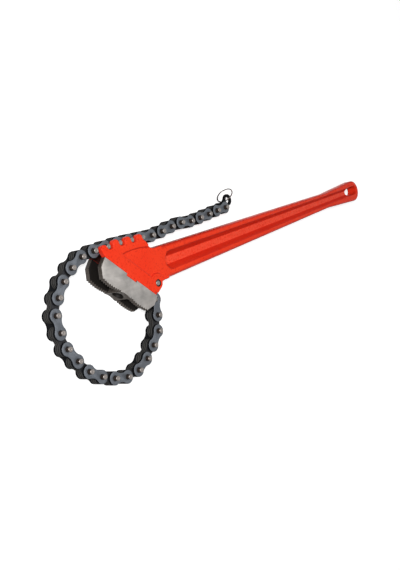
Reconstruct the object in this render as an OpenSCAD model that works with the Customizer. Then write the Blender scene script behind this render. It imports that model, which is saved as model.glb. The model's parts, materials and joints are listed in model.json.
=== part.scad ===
// Chain pipe wrench: a forged handle with a hooked head, a toothed jaw and a leaf chain
// X runs along the handle from the head to the free end, Y points to the hooks,
// Z is the direction of every chain pin, the origin is the middle of the hanging slot

/* [Chain] */
// Distance between neighbouring chain pins
pitch = 14.29; // [13.8:0.01:14.8]
// Diameter of the chain pins
pin_d = 4.5; // [4:0.1:5]
// Diameter of the round ends of the leaves
leaf_d = 12; // [11:0.1:12.6]
// Width of a leaf at its waist
leaf_waist = 8; // [7:0.1:9]
// Thickness of an outer plate
plate_t = 2.2; // [1.8:0.05:2.4]
// Thickness of an inner leaf
leaf_t = 2; // [1.7:0.05:2.2]
// Number of inner leaves in a link
leaf_count = 3; // [2:1:3]
// How far the pin ends stay behind the faces of the head
pin_recess = 1.2; // [0.6:0.1:2]

/* [Head] */
// Thickness of the head over its cheeks, and of the jaw
head_w = 21.5; // [21:0.1:24]
// Depth of the panel in each side of the head
panel_depth = 1.6; // [0.8:0.1:2]
// Width of a hook tooth
tooth_w = 7.8; // [7:0.1:8.2]
// Height of a hook tooth above the pin it holds
tooth_rise = 4.2; // [3:0.1:5.5]
// Height of the lower first tooth above its pin
first_rise = 2.6; // [2:0.1:4]
// Radius of the rounded tooth corners
tooth_round = 3.6; // [2:0.1:4]
// Radius of the head round the anchor pin
anchor_lobe = 5.7; // [5.2:0.1:6.5]
// Radius of the raised ring round the anchor pin
anchor_boss = 9; // [8:0.1:10]
// Diameter of the anchor pin
anchor_d = 4.8; // [4.4:0.1:5.4]

/* [Jaw] */
// Angle of the joint between head and jaw
jaw_tilt = 45; // [44:0.5:46]
// Distance of the joint from the anchor pin
joint_r = 11.2; // [10.6:0.1:12]
// Distance along the joint from the anchor pin to the middle of the jaw
jaw_mid = -30.4; // [-31.5:0.1:-29.5]
// Length of the jaw along the joint
jaw_len = 68; // [66:0.5:69]
// Height of the jaw from the joint to the crown of its teeth
jaw_h = 18.9; // [18:0.1:20]
// Height of the square shoulders at the ends of the jaw
shoulder_h = 9.3; // [7:0.1:11]
// Length of each row of teeth
row_len = 23; // [21:0.5:24]
// Number of teeth in each row
jaw_teeth = 9; // [7:1:11]
// Radius of the arc on which the tooth tips lie
crown_r = 52; // [40:1:70]
// Depth of the smooth saddle below the tooth crowns
saddle_drop = 1.9; // [1.2:0.1:2.5]
// Width of the boss that joins the two jaw plates
boss_w = 12.6; // [11:0.1:14]
// Width of the key on the head
key_w = 12.4; // [10:0.1:13]
// Height of the key on the head
key_h = 1.9; // [1.2:0.1:2.4]

/* [Jaw screw] */
// Diameter of the screw shank
screw_d = 6; // [5:0.5:6.5]
// Diameter of the screw head
screw_head_d = 9.8; // [9:0.1:10.2]
// Height of the screw head
screw_head_h = 6; // [5:0.1:6.5]
// Width across the flats of the socket
socket_af = 5; // [4:0.1:5.5]
// Thickness of the lock washer
washer_t = 1.6; // [1.2:0.1:2]
// How far the screw head lies below the saddle
screw_sunk = 3.4; // [2.5:0.1:4]
// Length of the screw shank inside the head
screw_grip = 12; // [8:0.5:13]

/* [Handle] */
// Distance along X from the anchor pin to the hanging slot
reach = 390; // [375:1:400]
// Distance in Y from the anchor pin to the middle line of the handle
drop = 15.5; // [15:0.1:16]
// Width of the bar at the neck
neck_w = 30.8; // [29:0.2:31.4]
// Width of the bar at its narrow end
waist_w = 18.4; // [17:0.2:20]
// Thickness of the bar at its narrow end
waist_t = 12.8; // [12:0.2:15]
// Distance of the narrow end from the hanging slot
waist_at = 62; // [50:1:75]
// Width of the eye at the free end
eye_w = 25.8; // [25:0.2:28]
// How far the middle of the eye lies below the middle line of the handle
eye_drop = 0.8; // [0:0.1:1.5]
// Distance of the handle end from the middle of the slot
end_at = 18; // [17:0.2:20]
// Radius of the long edges of the bar
edge_round = 4.2; // [3:0.1:4.6]
// Thickness of the web between the two channels
web_t = 4.6; // [4:0.1:6]
// Width of the channel floor at the neck
floor_neck = 7.4; // [5:0.1:9]
// Width of the channel floor at the narrow end
floor_end = 4.6; // [3:0.1:6]
// Width of the channel mouth at the neck
mouth_neck = 18.4; // [15:0.1:20]
// Width of the channel mouth at the narrow end
mouth_end = 11.4; // [9:0.1:12]
// Distance of the channel from the anchor pin
channel_at = 17.5; // [15:0.5:22]
// Length of the hanging slot
slot_len = 23; // [19:0.5:24]
// Width of the hanging slot
slot_w = 10.4; // [8:0.1:11]

/* [End link and ring] */
// Heading of the end link
end_heading = 27; // [20:1:50]
// Distance between the two holes of the end link
end_pitch = 14; // [13:0.1:14.8]
// Thickness of the end link
end_t = 2.6; // [2:0.1:3]
// Diameter of the ring hole
eye_d = 6.6; // [6.2:0.1:7.2]
// Mean diameter of the split ring
ring_d = 17.4; // [16:0.1:19]
// Thickness of the ring wire
wire_d = 1.3; // [1:0.05:1.5]

/* [Clearances] */
// Radial play of a leaf on its pin
run_clear = 0.05; // [0.02:0.01:0.09]
// Side play between bodies that move past each other
side_clear = 0.3; // [0.25:0.05:0.4]
// Gap between two leaves of one pack
leaf_gap = 0.12; // [0.05:0.01:0.2]
// Gap between a pin and the hook it lies in
seat_clear = 0.3; // [0.25:0.05:0.5]
// Play of the key in its notch
key_clear = 0.1; // [0.05:0.05:0.3]

/* [Hidden] */
$fn = 48;
eps = 0.01;
// Heading of every link, from the anchor pin to the last pin, as the chain lies in the hooks
link_headings = [
    258, 258, 252, 224, 216, 204, 183, 164, 154, 142, 124, 118, 99, 89, 62, 49,
    36, 25, 6, 0, 0, -3, -4, -4, 2, 6, 3, -6, 1, 3, 3, 2
];
link_pairs = len(link_headings) / 2;
// Number of the pin that lies in the first hook, and the number of hooks
first_hook = 20;
hook_count = 4;
// Turn of the ring about X, Y and Z
ring_turn = [46, 23, -41];

pin_r = pin_d / 2;
leaf_r = leaf_d / 2;
pack_w = leaf_count * leaf_t + (leaf_count - 1) * leaf_gap;
plate_in = pack_w / 2 + side_clear;
stack_w = 2 * (plate_in + plate_t);
groove_w = stack_w + 2 * side_clear;
pin_len = head_w - 2 * pin_recess;
body_t = head_w - 2 * panel_depth;
seat_r = pin_r + seat_clear;
tooth_depth = row_len / jaw_teeth / 2;
saddle_y = jaw_h - saddle_drop;
bore_floor = saddle_y - screw_sunk - screw_head_h - washer_t;

// Pins of the chain, counted from the anchor pin, in head axes
function step(i) = pitch * [cos(link_headings[i]), sin(link_headings[i])];
function pin_at(i) = i == 0 ? [0, 0] : pin_at(i - 1) + step(i - 1);
pins = [for (i = [0:2 * link_pairs]) pin_at(i)];

// Points along an arc
function arc(c, r, from, to, n = 8) =
    [for (i = [0:n]) c + r * [cos(from + (to - from) * i / n), sin(from + (to - from) * i / n)]];

// Point given along the joint and outward from the anchor pin
function joint_pt(s, r) =
    [s * cos(jaw_tilt) - r * sin(jaw_tilt), -s * sin(jaw_tilt) - r * cos(jaw_tilt)];

function pad(k) = k < 10 ? str("0", k) : str(k);
function node_name(word, k) = str(word, "_", pad(k));

// Head axes start at the anchor pin
module in_head() translate([-reach, -drop, 0]) children();

// Jaw axes start at the middle of the joint, with Y pointing into the head
module in_jaw() in_head() rotate(-jaw_tilt) translate([jaw_mid, -joint_r, 0]) children();

// Link axes start at a chain pin, with X pointing to the next pin
module at_pin(i) in_head() translate(pins[i]) rotate(link_headings[i]) children();

module slab(t) linear_extrude(t, center = true) children();

// Outline of the head
function tooth_right(i) = pins[first_hook + i][0] - seat_r;
function tooth_top(i) = pins[first_hook + i][1] + (i == 0 ? first_rise : tooth_rise);

function tooth_points(i) = let (
    right = tooth_right(i),
    left = right - tooth_w,
    round = min(tooth_round, tooth_w / 2 - 0.1),
    top = tooth_top(i) - round
) concat(
    arc([left + round, top], round, 180, 90),
    arc([right - round, top], round, 90, 0)
);

// The seat under one pin and the rounded climb to the next tooth
function notch_points(i) = let (
    pin = pins[first_hook + i],
    climb = 2.2
) i == hook_count - 1
    ? arc(pin, seat_r, 180, 235)
    : concat(
        arc(pin, seat_r, 180, 270),
        arc([tooth_right(i + 1) - tooth_w - climb, pin[1] - seat_r + climb], climb, 270, 360)
    );

neck_top = drop + neck_w / 2;
neck_low = drop - neck_w / 2;
neck_fillet = 8;
head_end = channel_at;

head_points = concat(
    [joint_pt(jaw_mid - jaw_len / 2 + 0.5, joint_r)],
    [for (i = [0:hook_count - 1]) each concat(tooth_points(i), notch_points(i))],
    arc([neck_fillet, neck_top + neck_fillet], neck_fillet, 200, 270),
    [[head_end, neck_top], [head_end, neck_low]],
    arc([0, 0], anchor_lobe, 1, -52),
    [
        joint_pt(jaw_mid + jaw_len / 2 - 0.5, joint_r),
        joint_pt(jaw_mid + key_w / 2, joint_r),
        joint_pt(jaw_mid + key_w / 2, joint_r + key_h),
        joint_pt(jaw_mid - key_w / 2, joint_r + key_h),
        joint_pt(jaw_mid - key_w / 2, joint_r)
    ]
);

module head_outline() polygon(head_points);

// The parts of the head that stand at full thickness round the panel
module raised_outline() intersection() {
    head_outline();
    union() {
        circle(anchor_boss);
        rotate(-jaw_tilt) translate([-90, -joint_r - key_h - 1]) square([90, joint_r + key_h + 2]);
        polygon(concat(
            arc([-20, -46], 82, 111, 76, 12),
            [[4, 60], [-60, 60]]
        ));
    }
}

// Groove for the chain behind the hooks, open down to the jaw at its left end
module hook_groove() slab(groove_w) {
    last = pins[first_hook + hook_count - 1];
    translate([-80, last[1] - leaf_r - 1]) square([80 + last[0] + leaf_d, 30]);
    translate([-80, 0]) square([80 + joint_pt(jaw_mid - key_w / 2 - 3, joint_r)[0], 60]);
}

// Room for the first inner link on the anchor pin, and for the outer link that follows it
module anchor_slot() {
    slab(pack_w + 2 * side_clear) {
        circle(leaf_r + 0.5);
        rotate(link_headings[0]) translate([0, -leaf_r - 2.5]) square([20, leaf_d + 5]);
    }
    slab(groove_w) difference() {
        rotate(link_headings[0] - 50) translate([2, 0]) square([18, 30]);
        circle(pitch - leaf_r - 0.4);
    }
}

// One end of a rounded bar that is drawn out along X, with its middle line at y0
module bar_end(x, y0, w, t, round) {
    for (y = [-1, 1], z = [-1, 1])
        translate([x, y0 + y * (w / 2 - round), z * (t / 2 - round)])
            rotate([0, 90, 0]) cylinder(r = round, h = 0.2, $fn = 32);
}

// A disc with a rounded rim, for the eye at the free end
module soft_disc(x, d, t, round) {
    for (z = [-1, 1])
        translate([x, -eye_drop, z * (t / 2 - round)])
            rotate_extrude($fn = 36) translate([d / 2 - round, 0]) circle(round, $fn = 20);
}

end_round = edge_round * waist_w / neck_w;
waist_y = -0.7 * eye_drop;

module bar() {
    hull() {
        bar_end(-reach + 9, 0, neck_w, body_t, edge_round);
        bar_end(-waist_at, waist_y, waist_w, waist_t, end_round);
    }
    hull() {
        bar_end(-waist_at - 1, waist_y, waist_w, waist_t, end_round);
        soft_disc(end_at - eye_w / 2 - 4, eye_w - 0.6, waist_t, end_round);
        soft_disc(end_at - eye_w / 2, eye_w, waist_t, end_round);
    }
}

// Channel in one side of the bar, with sloping walls
module channel() {
    near = -reach + channel_at + mouth_neck / 2;
    far = -slot_len / 2 + 4;
    hull() {
        translate([near, 0, web_t / 2]) cylinder(d = floor_neck, h = eps, $fn = 32);
        translate([near, 0, body_t / 2]) cylinder(d = mouth_neck, h = 1, $fn = 32);
        translate([far, 0, web_t / 2]) cylinder(d = floor_end, h = eps, $fn = 32);
        translate([far, 0, waist_t / 2]) cylinder(d = mouth_end, h = 1, $fn = 32);
    }
}

module hang_slot() slab(3 * head_w) {
    square([slot_len - slot_w, slot_w], center = true);
    for (x = [-1, 1]) translate([x * (slot_len - slot_w) / 2, 0]) circle(d = slot_w + eps);
}

module handle() color("OrangeRed") difference() {
    union() {
        in_head() slab(body_t) head_outline();
        in_head() slab(head_w) raised_outline();
        bar();
    }
    in_head() {
        hook_groove();
        anchor_slot();
        cylinder(d = anchor_d, h = 2 * head_w, center = true);
        for (z = [-1, 1])
            translate([0, 0, z * head_w / 2]) cylinder(d = anchor_d + 1.5, h = 1.2, center = true);
    }
    in_jaw() rotate([-90, 0, 0]) translate([0, 0, -key_h - 1]) cylinder(d = screw_d, h = screw_grip + key_h + 2);
    channel();
    mirror([0, 0, 1]) channel();
    hang_slot();
}

// Outline of the jaw seen from the side
function row_points(side) = let (
    mid = boss_w / 2 + row_len / 2,
    half = asin(row_len / 2 / crown_r),
    n = 2 * jaw_teeth
) [for (j = [0:n]) let (
    a = -90 + side * (half - 2 * half * j / n),
    r = crown_r - (j % 2 == 0 ? tooth_depth : 0)
) [side * mid + r * cos(a), crown_r - jaw_h + r * sin(a)]];

function flip(list) = [for (i = [len(list) - 1:-1:0]) list[i]];

saddle_r = 20;
saddle_half = asin(boss_w / 2 / saddle_r);
right_row = row_points(1);
left_row = flip(row_points(-1));
jaw_points = concat(
    [[-jaw_len / 2, 0], [jaw_len / 2, 0], [jaw_len / 2, -shoulder_h]],
    right_row,
    arc([0, -saddle_y - saddle_r], saddle_r, 90 - saddle_half, 90 + saddle_half),
    left_row,
    [[-jaw_len / 2, -shoulder_h]]
);

module jaw() color("DarkGray") in_jaw() difference() {
    slab(head_w) polygon(jaw_points);
    for (side = [-1, 1])
        translate([side * (boss_w / 2 + jaw_len / 2), 0, 0]) cube([jaw_len, 3 * jaw_h, groove_w], center = true);
    translate([-key_w / 2 - key_clear, -key_h - key_clear, -head_w])
        cube([key_w + 2 * key_clear, key_h + 10, 2 * head_w]);
    rotate([90, 0, 0]) {
        cylinder(d = screw_d + 0.4, h = 2 * jaw_h);
        translate([0, 0, bore_floor]) cylinder(d = screw_head_d + 0.6, h = 2 * jaw_h);
    }
}

module jaw_screw() color("DimGray") in_jaw() rotate([90, 0, 0]) difference() {
    union() {
        translate([0, 0, -screw_grip]) cylinder(d = screw_d, h = screw_grip + bore_floor + washer_t + 1);
        translate([0, 0, bore_floor + washer_t]) cylinder(d = screw_head_d, h = screw_head_h);
    }
    translate([0, 0, bore_floor + washer_t + screw_head_h - 3])
        cylinder(d = socket_af / cos(30), h = 4, $fn = 6);
}

module lock_washer() color("Gray") in_jaw() rotate([90, 0, 0]) translate([0, 0, bore_floor])
    difference() {
        cylinder(d = screw_head_d - 0.4, h = washer_t);
        translate([0, 0, -1]) cylinder(d = screw_d + 0.2, h = washer_t + 2);
    }

// A pin with chamfered ends and a centre dimple
module pin(d, len) {
    half = [[0, len / 2 - 0.5], [0.8, len / 2], [d / 2 - 0.4, len / 2], [d / 2, len / 2 - 0.4]];
    low = [for (p = flip(half)) [p[0], -p[1]]];
    rotate_extrude() polygon(concat(half, low));
}

module anchor_pin() color("Silver") in_head() pin(anchor_d, head_w - 0.4);

// A waisted leaf with two round ends
module leaf_blank(length) {
    tangent_r = (pow(length / 2, 2) + pow(leaf_waist / 2, 2) - pow(leaf_r, 2)) / (leaf_d - leaf_waist);
    flank_r = 1.12 * tangent_r;
    fill = (leaf_waist / 2 + tangent_r) * leaf_r / (leaf_r + tangent_r);
    difference() {
        union() {
            for (x = [0, length]) translate([x, 0]) circle(leaf_r);
            translate([0, -fill]) square([length, 2 * fill]);
        }
        for (side = [-1, 1])
            translate([length / 2, side * (leaf_waist / 2 + flank_r)]) circle(flank_r);
    }
}

// A leaf of the chain with a hole for each of its two pins
module leaf_outline(first_hole, last_hole) difference() {
    leaf_blank(pitch);
    circle(d = first_hole);
    translate([pitch, 0]) circle(d = last_hole);
}

// The leaf pack that follows pin number 2k - 2; the first pack turns on the anchor pin
module inner_leaves(k) color("DimGray") at_pin(2 * k - 2)
    for (j = [0:leaf_count - 1])
        translate([0, 0, -pack_w / 2 + j * (leaf_t + leaf_gap)])
            linear_extrude(leaf_t)
                leaf_outline((k == 1 ? anchor_d : pin_d) + 2 * run_clear, pin_d + 2 * run_clear);

// The pair of plates that follows pin number 2k - 1
module outer_plates(k) color("SlateGray") at_pin(2 * k - 1)
    for (z = [plate_in, -plate_in - plate_t])
        translate([0, 0, z]) linear_extrude(plate_t) leaf_outline(pin_d, pin_d);

// The two pins of an outer link; the pin next to the anchor is a flush rivet
module link_pins(k) color("Silver") at_pin(2 * k - 1) {
    pin(pin_d, k == 1 ? stack_w : pin_len);
    translate([pitch, 0, 0]) pin(pin_d, pin_len);
}

module at_end() in_head() translate(pins[2 * link_pairs]) rotate(end_heading) children();

// A loose plate on the last pin, with a hub that fills the width between the outer plates
module end_link() color("DimGray") at_end() difference() {
    union() {
        slab(end_t) leaf_blank(end_pitch);
        cylinder(r = leaf_r - 1.4, h = pack_w, center = true);
    }
    cylinder(d = pin_d + 2 * run_clear, h = 2 * pack_w, center = true);
    translate([end_pitch, 0, 0]) cylinder(d = eye_d, h = 2 * pack_w, center = true);
}

module split_ring() color("LightGray") at_end() translate([end_pitch, 0, 0]) rotate(-end_heading)
    rotate(ring_turn) translate([-ring_d / 2, 0, 0])
        rotate_extrude() translate([ring_d / 2, 0]) circle(d = wire_d, $fn = 24);

handle();
jaw();
jaw_screw();
lock_washer();
anchor_pin();
for (k = [1:link_pairs]) {
    inner_leaves(k);
    outer_plates(k);
    link_pins(k);
}
end_link();
split_ring();
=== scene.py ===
# %% [markdown]
# A chain pipe wrench lies on a white table with its chain laid round into the hooks of the head.
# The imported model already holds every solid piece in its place, in metres.
# This lesson gives the pieces their rounded edges and their finishes, then sets light and camera.

import json
import math

import bpy
from mathutils import Matrix, Vector

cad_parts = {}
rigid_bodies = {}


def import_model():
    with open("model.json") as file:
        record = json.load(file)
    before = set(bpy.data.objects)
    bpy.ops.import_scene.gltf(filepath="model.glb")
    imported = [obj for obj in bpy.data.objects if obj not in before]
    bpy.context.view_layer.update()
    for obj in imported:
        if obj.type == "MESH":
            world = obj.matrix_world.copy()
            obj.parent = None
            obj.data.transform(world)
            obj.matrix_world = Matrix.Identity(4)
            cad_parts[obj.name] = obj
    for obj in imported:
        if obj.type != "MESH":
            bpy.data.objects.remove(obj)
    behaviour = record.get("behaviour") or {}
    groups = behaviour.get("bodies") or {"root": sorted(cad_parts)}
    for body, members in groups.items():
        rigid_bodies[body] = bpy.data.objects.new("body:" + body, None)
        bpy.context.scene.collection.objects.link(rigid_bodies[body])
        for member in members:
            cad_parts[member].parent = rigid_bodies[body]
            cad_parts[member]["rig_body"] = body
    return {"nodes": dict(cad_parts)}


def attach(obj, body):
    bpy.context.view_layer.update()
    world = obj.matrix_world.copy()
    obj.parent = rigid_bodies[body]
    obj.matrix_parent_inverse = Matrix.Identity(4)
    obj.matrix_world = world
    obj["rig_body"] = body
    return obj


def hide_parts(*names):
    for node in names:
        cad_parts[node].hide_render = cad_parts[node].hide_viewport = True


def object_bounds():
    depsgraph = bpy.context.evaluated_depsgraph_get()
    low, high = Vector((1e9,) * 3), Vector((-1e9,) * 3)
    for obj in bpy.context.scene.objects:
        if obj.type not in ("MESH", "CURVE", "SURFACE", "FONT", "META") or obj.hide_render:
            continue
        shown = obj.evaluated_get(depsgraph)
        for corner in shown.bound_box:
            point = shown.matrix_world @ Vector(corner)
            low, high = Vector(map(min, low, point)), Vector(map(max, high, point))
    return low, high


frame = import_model()
nodes = frame["nodes"]
cad_box = [list(corner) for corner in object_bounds()]
MM = 0.001
print("loaded", len(nodes), "pieces, box", cad_box)

# %% [markdown]
# Every edit below works on one object at a time. The operators of Blender act on all that is
# selected, so a small helper first clears the selection and then picks the one object.
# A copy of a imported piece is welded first, because its triangles come loose from each other.

# %% Helpers for one object at a time
WELD = 0.004 * MM


def pick(piece):
    bpy.ops.object.select_all(action="DESELECT")
    piece.select_set(True)
    bpy.context.view_layer.objects.active = piece


def finish_with(piece, kind, **settings):
    pick(piece)
    modifier = piece.modifiers.new(kind.lower(), kind)
    for key, value in settings.items():
        setattr(modifier, key, value)
    bpy.ops.object.modifier_apply(modifier=modifier.name)


def copy_of(node_name, flat_deg):
    piece = nodes[node_name].copy()
    piece.data = nodes[node_name].data.copy()
    piece.data.materials.clear()
    piece.name = node_name + "_dressed"
    piece.parent = None
    bpy.context.scene.collection.objects.link(piece)
    pick(piece)
    bpy.ops.object.mode_set(mode="EDIT")
    bpy.ops.mesh.select_all(action="SELECT")
    bpy.ops.mesh.remove_doubles(threshold=WELD)
    if flat_deg:
        bpy.ops.mesh.dissolve_limited(angle_limit=math.radians(flat_deg))
    bpy.ops.object.mode_set(mode="OBJECT")
    return piece


def stands_for(piece, node_name, finish):
    piece.data.materials.append(finish)
    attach(piece, nodes[node_name]["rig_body"])
    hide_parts(node_name)


def triangles(piece):
    return sum(len(face.vertices) - 2 for face in piece.data.polygons)


# %% [markdown]
# Colours are written as the hex values that a screen shows. The shader works with linear light,
# so one function turns them. A second small function adds a shader node with its settings and
# links, and a third joins colour, roughness and surface to the shader at the end. The Mix node
# numbers its sockets, so the ones that blend two colours get names here.

# %% Helpers for colours and shader nodes
FACTOR, COLOUR_A, COLOUR_B = 0, 6, 7
BLENDED = 2
RGBA = {"data_type": "RGBA"}
ABSOLUTE = {"operation": "ABSOLUTE"}
MULTIPLY = {"operation": "MULTIPLY"}
MAXIMUM = {"operation": "MAXIMUM"}


def ink(hex_value):
    parts = [int(hex_value[i : i + 2], 16) / 255 for i in (1, 3, 5)]
    linear = [p / 12.92 if p <= 0.04045 else ((p + 0.055) / 1.055) ** 2.4 for p in parts]
    return (*linear, 1.0)


def add(tree, kind, settings=None, links=None):
    node = tree.nodes.new(kind)
    for key, value in (settings or {}).items():
        setattr(node, key, value)
    for socket, value in (links or {}).items():
        if isinstance(value, bpy.types.NodeSocket):
            tree.links.new(value, node.inputs[socket])
        else:
            node.inputs[socket].default_value = value
    return node


def new_finish(name):
    finish = bpy.data.materials.new(name)
    finish.use_nodes = True
    tree = finish.node_tree
    return finish, tree, tree.nodes["Principled BSDF"]


def join(tree, shader, colour, rough, surface):
    tree.links.new(colour.outputs[BLENDED], shader.inputs["Base Color"])
    tree.links.new(rough.outputs["Result"], shader.inputs["Roughness"])
    tree.links.new(surface.outputs["Normal"], shader.inputs["Normal"])


# %% [markdown]
# The handle is a drop forging under orange-red enamel. The colour of sprayed enamel drifts a little
# over the length of a hand, and small pits of the forging show through as darker dots.

# %% Enamel: colour and pits
enamel, tree, shader = new_finish("sprayed_enamel_red")
place = add(tree, "ShaderNodeTexCoord")
spot = place.outputs["Object"]
drift = add(
    tree,
    "ShaderNodeTexNoise",
    None,
    {"Vector": spot, "Scale": 1 / (38 * MM), "Detail": 3.0},
)
drift_colour = add(
    tree,
    "ShaderNodeMix",
    RGBA,
    {FACTOR: drift.outputs["Fac"], COLOUR_A: ink("#DE2A12"), COLOUR_B: ink("#EA4222")},
)
pits = add(
    tree,
    "ShaderNodeTexNoise",
    None,
    {"Vector": spot, "Scale": 1 / (1.9 * MM), "Detail": 2.0},
)
pit = add(
    tree,
    "ShaderNodeMapRange",
    None,
    {"Value": pits.outputs["Fac"], "From Min": 0.45, "From Max": 0.29, "To Max": 0.5},
)
pitted = add(
    tree,
    "ShaderNodeMix",
    RGBA,
    {FACTOR: pit.outputs[0], COLOUR_A: drift_colour.outputs[BLENDED], COLOUR_B: ink("#B4200F")},
)
print("enamel has", len(tree.nodes), "nodes so far")

# %% [markdown]
# Sloped walls are painted a deeper red, and upright sides get a part of that: this is painted shade,
# for the light that meets them at a slant. The floor of the channel is flat and lies close to the middle
# plane: it has a fine pale stipple from the die, and the same pale mix paints a sheen on it.

# %% Enamel: painted shade on the walls, stipple and painted sheen on the floor of the channel
FLOOR_Z = 2.7 * MM
face = add(tree, "ShaderNodeSeparateXYZ", None, {"Vector": place.outputs["Normal"]})
facing = add(tree, "ShaderNodeMath", ABSOLUTE, {0: face.outputs["Z"]})
# Painted shade: sloped faces are mixed toward a deeper red, and upright sides by part of that.
wall_shade_mask = add(
    tree,
    "ShaderNodeMapRange",
    None,
    {"Value": facing.outputs[0], "From Min": 0.98, "From Max": 0.78, "To Max": 0.55},
)
upright_shade_share = add(
    tree,
    "ShaderNodeMapRange",
    None,
    {"Value": facing.outputs[0], "From Min": 0.05, "From Max": 0.35, "To Min": 0.4},
)
painted_wall_shade = add(tree, "ShaderNodeMath", MULTIPLY, {0: wall_shade_mask.outputs[0], 1: upright_shade_share.outputs[0]})
wall_shaded_colour = add(
    tree,
    "ShaderNodeMix",
    RGBA,
    {FACTOR: painted_wall_shade.outputs[0], COLOUR_A: pitted.outputs[BLENDED], COLOUR_B: ink("#B4160E")},
)
xyz = add(tree, "ShaderNodeSeparateXYZ", None, {"Vector": spot})
depth = add(tree, "ShaderNodeMath", ABSOLUTE, {0: xyz.outputs["Z"]})
floor = add(
    tree,
    "ShaderNodeMapRange",
    None,
    {"Value": depth.outputs[0], "From Min": FLOOR_Z + 0.5 * MM, "From Max": FLOOR_Z},
)
flat = add(
    tree,
    "ShaderNodeMapRange",
    None,
    {"Value": facing.outputs[0], "From Min": 0.8, "From Max": 0.97},
)
flat_floor = add(tree, "ShaderNodeMath", MULTIPLY, {0: floor.outputs[0], 1: flat.outputs[0]})
# Painted sheen with a stipple: the flat floor of the channel is mixed toward a pale red.
sheen_stipple = add(
    tree,
    "ShaderNodeMapRange",
    None,
    {
        "Value": pits.outputs["Fac"],
        "From Min": 0.35,
        "From Max": 0.65,
        "To Min": 0.05,
        "To Max": 0.4,
    },
)
pale = add(tree, "ShaderNodeMath", MULTIPLY, {0: flat_floor.outputs[0], 1: sheen_stipple.outputs[0]})
floor_sheened_colour = add(
    tree,
    "ShaderNodeMix",
    RGBA,
    {FACTOR: pale.outputs[0], COLOUR_A: wall_shaded_colour.outputs[BLENDED], COLOUR_B: ink("#E2624C")},
)
print("enamel has", len(tree.nodes), "nodes so far")

# %% [markdown]
# The chain groove of the head and the rim of the anchor pin's hole are painted a dark brown: this is
# painted shade, for the shadow that falls into the groove and into the gap round the pin.

# %% Enamel: painted shade in the groove and round the anchor pin
GROOVE_HALF = 6.0 * MM
HEAD_X = -391.5 * MM
ANCHOR = (-390 * MM, -15.5 * MM, 0.0)
ANCHOR_RIM = 3.2 * MM
inside = add(
    tree,
    "ShaderNodeMapRange",
    None,
    {"Value": depth.outputs[0], "From Min": GROOVE_HALF + 0.5 * MM, "From Max": GROOVE_HALF},
)
in_head = add(
    tree,
    "ShaderNodeMapRange",
    None,
    {"Value": xyz.outputs["X"], "From Min": HEAD_X + 2.0 * MM, "From Max": HEAD_X},
)
groove = add(tree, "ShaderNodeMath", MULTIPLY, {0: inside.outputs[0], 1: in_head.outputs[0]})
level = add(
    tree,
    "ShaderNodeCombineXYZ",
    None,
    {"X": xyz.outputs["X"], "Y": xyz.outputs["Y"]},
)
from_pin = add(
    tree,
    "ShaderNodeVectorMath",
    {"operation": "DISTANCE"},
    {0: level.outputs[0], 1: ANCHOR},
)
pin_rim_shade = add(
    tree,
    "ShaderNodeMapRange",
    None,
    {
        "Value": from_pin.outputs["Value"],
        "From Min": ANCHOR_RIM + 0.4 * MM,
        "From Max": ANCHOR_RIM,
    },
)
# Painted shade: the groove and the rim round the anchor pin are mixed toward a dark brown.
painted_recess_shade = add(tree, "ShaderNodeMath", MAXIMUM, {0: groove.outputs[0], 1: pin_rim_shade.outputs[0]})
coat_colour = add(
    tree,
    "ShaderNodeMix",
    RGBA,
    {FACTOR: painted_recess_shade.outputs[0], COLOUR_A: floor_sheened_colour.outputs[BLENDED], COLOUR_B: ink("#2A1512")},
)
print("enamel has", len(tree.nodes), "nodes so far")

# %% [markdown]
# Sprayed enamel is never quite flat: it has a fine orange peel of one or two millimetres on the long
# waves of the forging, and it is glossier where it lies thick. The peel is drawn a little coarser so
# that it shows.

# %% Enamel: gloss and peel
peel = add(
    tree,
    "ShaderNodeTexNoise",
    None,
    {"Vector": spot, "Scale": 1 / (2.2 * MM), "Detail": 2.0},
)
forging = add(
    tree,
    "ShaderNodeTexNoise",
    None,
    {"Vector": spot, "Scale": 1 / (11 * MM), "Detail": 3.0},
)
gloss = add(
    tree,
    "ShaderNodeMapRange",
    None,
    {
        "Value": forging.outputs["Fac"],
        "From Min": 0.3,
        "From Max": 0.7,
        "To Min": 0.34,
        "To Max": 0.48,
    },
)
waves = add(
    tree,
    "ShaderNodeBump",
    None,
    {"Height": forging.outputs["Fac"], "Strength": 0.25, "Distance": 0.25 * MM},
)
skin = add(
    tree,
    "ShaderNodeBump",
    None,
    {
        "Height": peel.outputs["Fac"],
        "Strength": 0.16,
        "Distance": 0.1 * MM,
        "Normal": waves.outputs["Normal"],
    },
)
join(tree, shader, coat_colour, gloss, skin)
shader.inputs["Specular IOR Level"].default_value = 0.1
print("made", enamel.name)

# %% [markdown]
# The jaw is forged steel, ground only on its two side faces. Grinding leaves fine lines along the
# length of the jaw and a pale warm grey with soft clouds. The ground faces look along Z and lie near
# the outer face. The jaw's length runs at 45 degrees to the handle.

# %% Jaw steel: ground faces
JAW_FACE_Z = 9.6 * MM
JAW_TURN = math.radians(45)
jaw_steel, tree, shader = new_finish("forged_steel_ground_sides")
place = add(tree, "ShaderNodeTexCoord")
spot = place.outputs["Object"]
xyz = add(tree, "ShaderNodeSeparateXYZ", None, {"Vector": spot})
face = add(tree, "ShaderNodeSeparateXYZ", None, {"Vector": place.outputs["Normal"]})
facing = add(tree, "ShaderNodeMath", ABSOLUTE, {0: face.outputs["Z"]})
height = add(tree, "ShaderNodeMath", ABSOLUTE, {0: xyz.outputs["Z"]})
flat = add(
    tree,
    "ShaderNodeMapRange",
    None,
    {"Value": facing.outputs[0], "From Min": 0.8, "From Max": 0.97},
)
outer = add(
    tree,
    "ShaderNodeMapRange",
    None,
    {"Value": height.outputs[0], "From Min": JAW_FACE_Z - 0.6 * MM, "From Max": JAW_FACE_Z},
)
ground = add(tree, "ShaderNodeMath", MULTIPLY, {0: flat.outputs[0], 1: outer.outputs[0]})
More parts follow.
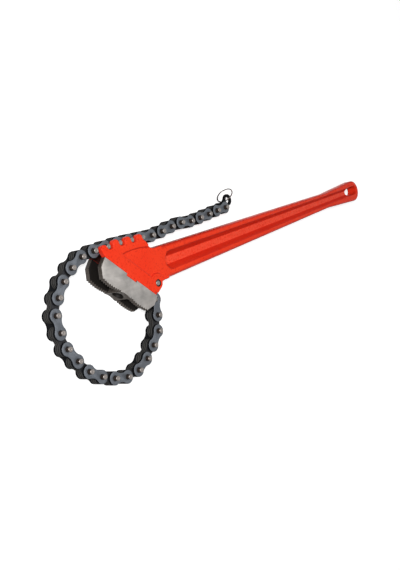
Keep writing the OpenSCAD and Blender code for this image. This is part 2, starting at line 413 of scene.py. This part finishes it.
along = add(
    tree,
    "ShaderNodeMapping",
    None,
    {
        "Vector": spot,
        "Rotation": (0, 0, JAW_TURN),
        "Scale": (1 / (30 * MM), 1 / (1.6 * MM), 1.0),
    },
)
lines = add(
    tree,
    "ShaderNodeTexNoise",
    None,
    {"Vector": along.outputs["Vector"], "Scale": 1.0, "Detail": 4.0},
)
cloud = add(
    tree,
    "ShaderNodeTexNoise",
    None,
    {"Vector": spot, "Scale": 1 / (14 * MM), "Detail": 4.0},
)
both = add(
    tree,
    "ShaderNodeMath",
    {"operation": "MULTIPLY_ADD"},
    {0: lines.outputs["Fac"], 1: 0.2, 2: cloud.outputs["Fac"]},
)
shade = add(
    tree,
    "ShaderNodeMapRange",
    None,
    {"Value": both.outputs[0], "From Min": 0.42, "From Max": 0.8},
)
pale = add(
    tree,
    "ShaderNodeMix",
    RGBA,
    {FACTOR: shade.outputs[0], COLOUR_A: ink("#85827F"), COLOUR_B: ink("#ADA8A3")},
)
print("jaw steel has", len(tree.nodes), "nodes so far")

# %% [markdown]
# The forged edges of the jaw are a brownish grey. The inner faces and the screw's hole are near black:
# black scale, and painted shade in the cavity between the jaw's sides and in the bore. The hole is found
# by its distance from the screw's axis, which lies across the jaw's length.

# %% Jaw steel: forged edges, scale and painted shade in the cavity and bore
JAW_GAP_Z = 6.0 * MM
SCREW_X, SCREW_Y = -427.8 * MM, -10.31 * MM
SCREW_HOLE_R = 5.3 * MM
DIAGONAL = math.sqrt(0.5)
grit = add(
    tree,
    "ShaderNodeTexNoise",
    None,
    {"Vector": spot, "Scale": 1 / (1.5 * MM), "Detail": 5.0},
)
edge_colour = add(
    tree,
    "ShaderNodeMix",
    RGBA,
    {FACTOR: grit.outputs["Fac"], COLOUR_A: ink("#302B28"), COLOUR_B: ink("#5A534D")},
)
# Painted shade, on top of the scale: the inner faces and the screw's bore are mixed toward near black.
cavity = add(
    tree,
    "ShaderNodeMapRange",
    None,
    {"Value": height.outputs[0], "From Min": JAW_GAP_Z + 0.4 * MM, "From Max": JAW_GAP_Z},
)
inner_face = add(tree, "ShaderNodeMath", MULTIPLY, {0: cavity.outputs[0], 1: flat.outputs[0]})
across = add(
    tree,
    "ShaderNodeVectorMath",
    {"operation": "CROSS_PRODUCT"},
    {0: (DIAGONAL, DIAGONAL, 0.0), 1: spot},
)
from_axis = add(
    tree,
    "ShaderNodeVectorMath",
    {"operation": "DISTANCE"},
    {0: across.outputs[0], 1: (0.0, 0.0, (SCREW_Y - SCREW_X) * DIAGONAL)},
)
screw_hole = add(
    tree,
    "ShaderNodeMapRange",
    None,
    {
        "Value": from_axis.outputs["Value"],
        "From Min": SCREW_HOLE_R + 0.3 * MM,
        "From Max": SCREW_HOLE_R,
    },
)
cavity_and_bore_shade = add(tree, "ShaderNodeMath", MAXIMUM, {0: inner_face.outputs[0], 1: screw_hole.outputs[0]})
scale_and_shade_colour = add(
    tree,
    "ShaderNodeMix",
    RGBA,
    {FACTOR: cavity_and_bore_shade.outputs[0], COLOUR_A: edge_colour.outputs[BLENDED], COLOUR_B: ink("#1C1917")},
)
steel_colour = add(
    tree,
    "ShaderNodeMix",
    RGBA,
    {
        FACTOR: ground.outputs[0],
        COLOUR_A: scale_and_shade_colour.outputs[BLENDED],
        COLOUR_B: pale.outputs[BLENDED],
    },
)
rough = add(
    tree,
    "ShaderNodeMapRange",
    None,
    {"Value": ground.outputs[0], "To Min": 0.55, "To Max": 0.42},
)
rub = add(
    tree,
    "ShaderNodeBump",
    None,
    {"Height": both.outputs[0], "Strength": 0.12, "Distance": 0.05 * MM},
)
join(tree, shader, steel_colour, rough, rub)
shader.inputs["Metallic"].default_value = 0.35
shader.inputs["Specular IOR Level"].default_value = 0.2
print("made", jaw_steel.name)

# %% [markdown]
# The outer plates are stamped from strip and tumbled, so their faces are an even blue-grey with faint
# clouds. Their sheared sides are matt and painted black: painted shade. The inner leaves are the same
# steel:
# their faces between the plates are painted nearly black as painted shade, their sides are rubbed to a
# dull grey, and near-black rims paint the shade in the crease where one leaf meets the next.

# %% Finish: stamped plate steel with painted shade, in a plate version and a leaf version


def stamped_steel(name, faces, side, rim_shade, bright_from_mm):
    finish, tree, shader = new_finish(name)
    place = add(tree, "ShaderNodeTexCoord")
    spot = place.outputs["Object"]
    xyz = add(tree, "ShaderNodeSeparateXYZ", None, {"Vector": spot})
    face = add(tree, "ShaderNodeSeparateXYZ", None, {"Vector": place.outputs["Normal"]})
    facing = add(tree, "ShaderNodeMath", ABSOLUTE, {0: face.outputs["Z"]})
    height = add(tree, "ShaderNodeMath", ABSOLUTE, {0: xyz.outputs["Z"]})
    flat = add(
        tree,
        "ShaderNodeMapRange",
        None,
        {"Value": facing.outputs[0], "From Min": 0.55, "From Max": 0.95},
    )
    outer = add(
        tree,
        "ShaderNodeMapRange",
        None,
        {
            "Value": height.outputs[0],
            "From Min": bright_from_mm * MM,
            "From Max": (bright_from_mm + 0.3) * MM,
        },
    )
    shown = add(tree, "ShaderNodeMath", MULTIPLY, {0: flat.outputs[0], 1: outer.outputs[0]})
    cloud = add(
        tree,
        "ShaderNodeTexNoise",
        None,
        {"Vector": spot, "Scale": 1 / (6 * MM), "Detail": 5.0},
    )
    tumble = add(
        tree,
        "ShaderNodeTexNoise",
        None,
        {"Vector": spot, "Scale": 1 / (0.9 * MM), "Detail": 3.0},
    )
    clouded = add(
        tree,
        "ShaderNodeMix",
        RGBA,
        {FACTOR: cloud.outputs["Fac"], COLOUR_A: ink(faces[0]), COLOUR_B: ink(faces[1])},
    )
    # Sides take the side colour and bevelled rims the rim colour; the near-black ones are painted shade.
    upright = add(
        tree,
        "ShaderNodeMapRange",
        None,
        {"Value": facing.outputs[0], "From Min": 0.5, "From Max": 0.2},
    )
    edge_tone_and_shade = add(
        tree,
        "ShaderNodeMix",
        RGBA,
        {FACTOR: upright.outputs[0], COLOUR_A: ink(rim_shade), COLOUR_B: ink(side)},
    )
    colour = add(
        tree,
        "ShaderNodeMix",
        RGBA,
        {
            FACTOR: shown.outputs[0],
            COLOUR_A: edge_tone_and_shade.outputs[BLENDED],
            COLOUR_B: clouded.outputs[BLENDED],
        },
    )
    rough = add(
        tree,
        "ShaderNodeMapRange",
        None,
        {"Value": cloud.outputs["Fac"], "To Min": 0.36, "To Max": 0.54},
    )
    dents = add(
        tree,
        "ShaderNodeBump",
        None,
        {"Height": tumble.outputs["Fac"], "Strength": 0.12, "Distance": 0.06 * MM},
    )
    metal = add(tree, "ShaderNodeMath", MULTIPLY, {0: shown.outputs[0], 1: 0.45})
    shine = add(tree, "ShaderNodeMath", MULTIPLY, {0: shown.outputs[0], 1: 0.15})
    join(tree, shader, colour, rough, dents)
    tree.links.new(metal.outputs[0], shader.inputs["Metallic"])
    tree.links.new(shine.outputs[0], shader.inputs["Specular IOR Level"])
    return finish


# Painted shade: the plate's sides and rims are near black.
plate_steel = stamped_steel(
    "stamped_plate_steel",
    faces=("#4D5157", "#6C7076"),
    side="#0E0E10",
    rim_shade="#1B1C1E",
    bright_from_mm=4.6,
)
# Painted shade: the leaf faces and the rims between leaves are near black; the grey sides are the leaf's
# own tone.
leaf_steel = stamped_steel(
    "leaf_steel_painted_shade",
    faces=("#1E1E21", "#303032"),
    side="#424140",
    rim_shade="#060606",
    bright_from_mm=2.0,
)
print("made", plate_steel.name, leaf_steel.name)

# %% [markdown]
# The pins are turned from bar. Their cut ends are pale and matt. Their round sides are smooth and catch a
# sharp light, and are painted a dark brown: painted shade.

# %% Finish: turned pin steel
pin_steel, tree, shader = new_finish("turned_pin_steel")
place = add(tree, "ShaderNodeTexCoord")
spot = place.outputs["Object"]
face = add(tree, "ShaderNodeSeparateXYZ", None, {"Vector": place.outputs["Normal"]})
facing = add(tree, "ShaderNodeMath", ABSOLUTE, {0: face.outputs["Z"]})
cut_end = add(
    tree,
    "ShaderNodeMapRange",
    None,
    {"Value": facing.outputs[0], "From Min": 0.45, "From Max": 0.8},
)
speck = add(
    tree,
    "ShaderNodeTexNoise",
    None,
    {"Vector": spot, "Scale": 1 / (1.2 * MM), "Detail": 4.0},
)
end_colour = add(
    tree,
    "ShaderNodeMix",
    RGBA,
    {FACTOR: speck.outputs["Fac"], COLOUR_A: ink("#6A6561"), COLOUR_B: ink("#958F8B")},
)
# Painted shade: the round sides of the pins are a dark brown.
side_shade_colour = add(
    tree,
    "ShaderNodeMix",
    RGBA,
    {FACTOR: speck.outputs["Fac"], COLOUR_A: ink("#261D17"), COLOUR_B: ink("#4C3E35")},
)
pin_colour = add(
    tree,
    "ShaderNodeMix",
    RGBA,
    {
        FACTOR: cut_end.outputs[0],
        COLOUR_A: side_shade_colour.outputs[BLENDED],
        COLOUR_B: end_colour.outputs[BLENDED],
    },
)
rough = add(
    tree,
    "ShaderNodeMapRange",
    None,
    {"Value": cut_end.outputs[0], "To Min": 0.22, "To Max": 0.5},
)
nicks = add(
    tree,
    "ShaderNodeBump",
    None,
    {"Height": speck.outputs["Fac"], "Strength": 0.1, "Distance": 0.05 * MM},
)
join(tree, shader, pin_colour, rough, nicks)
shader.inputs["Metallic"].default_value = 0.6
print("made", pin_steel.name)

# %% [markdown]
# The jaw screw and its washer are blackened steel deep in their hole, and the ring is bright
# drawn wire. Both get a fine irregular surface so that they do not look like plastic.

# %% Finishes: black oxide and bright wire


def plain_steel(name, colours, grain_mm, roughness, metal):
    finish, tree, shader = new_finish(name)
    place = add(tree, "ShaderNodeTexCoord")
    grain = add(
        tree,
        "ShaderNodeTexNoise",
        None,
        {"Vector": place.outputs["Object"], "Scale": 1 / (grain_mm * MM), "Detail": 4.0},
    )
    colour = add(
        tree,
        "ShaderNodeMix",
        RGBA,
        {FACTOR: grain.outputs["Fac"], COLOUR_A: ink(colours[0]), COLOUR_B: ink(colours[1])},
    )
    rough = add(
        tree,
        "ShaderNodeMapRange",
        None,
        {"Value": grain.outputs["Fac"], "To Min": roughness[0], "To Max": roughness[1]},
    )
    fine = add(
        tree,
        "ShaderNodeBump",
        None,
        {"Height": grain.outputs["Fac"], "Strength": 0.08, "Distance": 0.04 * MM},
    )
    join(tree, shader, colour, rough, fine)
    shader.inputs["Metallic"].default_value = metal
    return finish


black_steel = plain_steel(
    "black_oxide_steel",
    colours=("#121110", "#242221"),
    grain_mm=0.8,
    roughness=(0.4, 0.6),
    metal=0.3,
)
wire_steel = plain_steel(
    "bright_drawn_wire",
    colours=("#6A6967", "#8D8C89"),
    grain_mm=1.1,
    roughness=(0.2, 0.34),
    metal=1.0,
)
print("made", black_steel.name, wire_steel.name)

# %% [markdown]
# A forging has no sharp edge anywhere, because steel has to flow out of the die. Bevelling every edge
# of such a branched solid by hand is slow, so the copy is rebuilt on a fine grid and smoothed a little.
# That rounds all edges by a little under a millimetre and blends the bar into the head. The flat faces
# need far fewer triangles than the grid gives, so the copy is thinned at the end.

# %% Dress the handle
GRID = 0.5 * MM
SMOOTHING_ROUNDS = 7
KEPT_SHARE = 0.36
handle = copy_of("handle", 0)
finish_with(handle, "REMESH", mode="VOXEL", voxel_size=GRID, adaptivity=0.0)
finish_with(handle, "SMOOTH", factor=0.5, iterations=SMOOTHING_ROUNDS)
finish_with(handle, "DECIMATE", decimate_type="COLLAPSE", ratio=KEPT_SHARE)
pick(handle)
bpy.ops.object.shade_smooth()
stands_for(handle, "handle", enamel)
print("handle", triangles(handle), "triangles")

# %% [markdown]
# The jaw keeps its crisp teeth, so only a narrow bevel breaks its edges. The flat faces of the packed
# model are loose triangles: they are merged and dissolved first, so that the bevel runs along real
# edges. All plates and leaves are stamped: the punch pulls the edge down a little on the way in. A
# bevel of a third of a millimetre or so gives each plate the soft rim that catches the light.

# %% Dress the jaw and the chain
FLAT_DEG = 1.0
LINKS = range(1, 17)


def dress_edges(node_name, finish, bevel_mm, edge_deg, smooth_deg):
    piece = copy_of(node_name, FLAT_DEG)
    finish_with(
        piece,
        "BEVEL",
        width=bevel_mm * MM,
        segments=2,
        limit_method="ANGLE",
        angle_limit=math.radians(edge_deg),
    )
    pick(piece)
    bpy.ops.object.shade_smooth_by_angle(angle=math.radians(smooth_deg))
    stands_for(piece, node_name, finish)
    return triangles(piece)


jaw = dress_edges("jaw", jaw_steel, 0.12, 28, 32)
plates = [dress_edges(f"outer_plates_{k:02d}", plate_steel, 0.4, 40, 35) for k in LINKS]
leaves = [dress_edges(f"inner_leaves_{k:02d}", leaf_steel, 0.35, 40, 35) for k in LINKS]
end_link = dress_edges("end_link", plate_steel, 0.35, 40, 35)
print("triangles: jaw", jaw, "plates", plates[0], "leaves", leaves[0], "end link", end_link)

# %% [markdown]
# The pins, the anchor pin, the screw and the washer are turned or stamped to their exact shape in the
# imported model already, so they keep their meshes and only get a finish.

# %% Finish the turned pieces
turned = {f"link_pins_{k:02d}": pin_steel for k in LINKS}
turned.update(anchor_pin=pin_steel, jaw_screw=black_steel, lock_washer=black_steel)
for name, finish in turned.items():
    nodes[name].data.materials.clear()
    nodes[name].data.materials.append(finish)
print("finished", len(turned), "turned pieces")

# %% [markdown]
# A split ring is flat spring wire wound twice round, so that a loop can be worked in between its turns.
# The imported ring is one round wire. A flattened circle is the wire's section, and a Screw modifier takes
# it twice round while it climbs by a little more than its own thickness, inside the room of the packed
# ring.

# %% Wind the split ring
RING_R = 8.7 * MM
CLIMB = 0.44 * MM
TURNS = 2
STEPS = 144
WIRE_HALF_WIDTH, WIRE_HALF_THICKNESS = 0.6, 0.21
bpy.ops.object.select_all(action="DESELECT")
bpy.ops.mesh.primitive_circle_add(vertices=12, radius=1.0 * MM, rotation=(math.pi / 2, 0, 0))
ring = bpy.context.object
ring.name = "split_ring_dressed"
bpy.ops.object.transform_apply(location=True, rotation=True, scale=True)
bpy.ops.object.mode_set(mode="EDIT")
bpy.ops.mesh.select_all(action="SELECT")
bpy.ops.transform.resize(value=(WIRE_HALF_WIDTH, 1.0, WIRE_HALF_THICKNESS))
bpy.ops.transform.translate(value=(RING_R, 0, -CLIMB))
bpy.ops.object.mode_set(mode="OBJECT")
finish_with(
    ring,
    "SCREW",
    axis="Z",
    angle=TURNS * 2 * math.pi,
    screw_offset=TURNS * CLIMB,
    steps=STEPS,
    render_steps=STEPS,
)
bpy.ops.object.mode_set(mode="EDIT")
bpy.ops.mesh.select_all(action="SELECT")
bpy.ops.mesh.fill_holes(sides=0)
bpy.ops.mesh.normals_make_consistent(inside=False)
bpy.ops.object.mode_set(mode="OBJECT")
print("split ring", triangles(ring), "triangles")

# %% [markdown]
# The ring was wound round the origin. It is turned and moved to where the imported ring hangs, with the
# ends of the wire on the side away from the end link, and the turn is applied to its mesh.

# %% Hang the split ring
RING_MIDDLE = Vector((-257.366, 41.628, 3.399)) * MM
RING_AXIS = Vector((-0.2671, -0.7210, 0.6394)).normalized()
RING_SLIT = Vector((-0.6940, 0.6030, 0.3910))
sideways = RING_AXIS.cross(RING_SLIT).normalized()
outward = sideways.cross(RING_AXIS)
ring_turn = Matrix((outward, sideways, RING_AXIS)).transposed().to_4x4()
ring.matrix_world = Matrix.Translation(RING_MIDDLE) @ ring_turn
bpy.ops.object.transform_apply(location=True, rotation=True, scale=True)
bpy.ops.object.shade_smooth_by_angle(angle=math.radians(40))
stands_for(ring, "split_ring", wire_steel)

# %% [markdown]
# The wrench lies on a wide white table. The table's own colour is a light grey, so that it does not
# throw too much light up the sides of the tool. For what the camera and mirrors see, light is added, so
# that it reads as white paper and still keeps the shadow.

# %% Table
TABLE_SIZE = 12.0
TABLE_GAP = 0.1 * MM
TABLE_GLOW = 0.68
WHITE = ink("#FFFFFF")


def seen_directly(tree):
    path = add(tree, "ShaderNodeLightPath")
    eye_or_mirror = add(
        tree,
        "ShaderNodeMath",
        MAXIMUM,
        {0: path.outputs["Is Camera Ray"], 1: path.outputs["Is Glossy Ray"]},
    )
    return add(
        tree,
        "ShaderNodeMath",
        MAXIMUM,
        {0: eye_or_mirror.outputs[0], 1: path.outputs["Is Transmission Ray"]},
    )


table_z = cad_box[0][2] - TABLE_GAP
bpy.ops.object.select_all(action="DESELECT")
bpy.ops.mesh.primitive_plane_add(size=TABLE_SIZE, location=(0, 0, table_z))
table = bpy.context.object
table.name = "table"
paper, tree, shader = new_finish("white_table")
seen = seen_directly(tree)
glow = add(tree, "ShaderNodeMath", MULTIPLY, {0: seen.outputs[0], 1: TABLE_GLOW})
shader.inputs["Base Color"].default_value = ink("#C4C4C4")
shader.inputs["Roughness"].default_value = 0.8
shader.inputs["Emission Color"].default_value = WHITE
tree.links.new(glow.outputs[0], shader.inputs["Emission Strength"])
table.data.materials.append(paper)
print("table at", round(table.location.z, 5))

# %% [markdown]
# The photograph has soft light from above and from the head side: the flat faces and the channel floor
# are bright, the channel's walls are darker, and the pins shine on their upper left. A lamp on that side
# is the main light. A broad one overhead and a dim even world fill the rest. To the camera and to
# mirrors the world is nearly white.

# %% Light
WORLD_LIGHT, WORLD_SEEN = 0.16, 0.9
scene = bpy.context.scene
world = bpy.data.worlds.new("studio")
world.use_nodes = True
tree = world.node_tree
background = tree.nodes["Background"]
seen = seen_directly(tree)
strength = add(
    tree,
    "ShaderNodeMapRange",
    None,
    {"Value": seen.outputs[0], "To Min": WORLD_LIGHT, "To Max": WORLD_SEEN},
)
background.inputs["Color"].default_value = WHITE
tree.links.new(strength.outputs[0], background.inputs["Strength"])
scene.world = world


def lamp(name, spot, target, size, watts):
    bpy.ops.object.light_add(type="AREA", location=spot)
    light = bpy.context.object
    light.name = name
    light.data.shape = "DISK"
    light.data.size = size
    light.data.energy = watts
    aim = Vector(target) - Vector(spot)
    light.rotation_euler = aim.to_track_quat("-Z", "Y").to_euler()


middle = (-0.25, 0.0, 0.0)
lamp("window", spot=(-1.1, 0.22, 0.75), target=middle, size=0.3, watts=12.5)
lamp("ceiling", spot=(-0.1, 0.05, 1.2), target=middle, size=0.5, watts=2.8)

# %% [markdown]
# The camera stands where the photograph was taken from. Its place and turn come from a fit of the chain
# pins and the handle in the picture, which is 400 by 570 pixels with a focal length of 723 pixels.

# %% Camera
PHOTO_WIDTH_PX = 400
FOCAL_PX = 723
SENSOR_MM = 36.0
CAMERA_SPOT = Vector((-0.8463, 0.0695, 0.4648))
right = Vector((0.6174, -0.2440, 0.7478))
up = Vector((0.2711, 0.9584, 0.0889))
back = right.cross(up).normalized()
up = back.cross(right).normalized()
right.normalize()
camera_turn = Matrix((right, up, back)).transposed().to_4x4()
bpy.ops.object.camera_add()
camera = bpy.context.object
camera.name = "camera"
camera.matrix_world = Matrix.Translation(CAMERA_SPOT) @ camera_turn
camera.data.sensor_fit = "HORIZONTAL"
camera.data.sensor_width = SENSOR_MM
camera.data.lens = FOCAL_PX * SENSOR_MM / PHOTO_WIDTH_PX
camera.data.clip_start = 0.01
scene.camera = camera
scene.view_settings.view_transform = "Standard"
print("camera lens", round(camera.data.lens, 2), "mm")

# %% [markdown]
# Last, the view layer is updated.

# %% Update the view layer
bpy.context.view_layer.update()
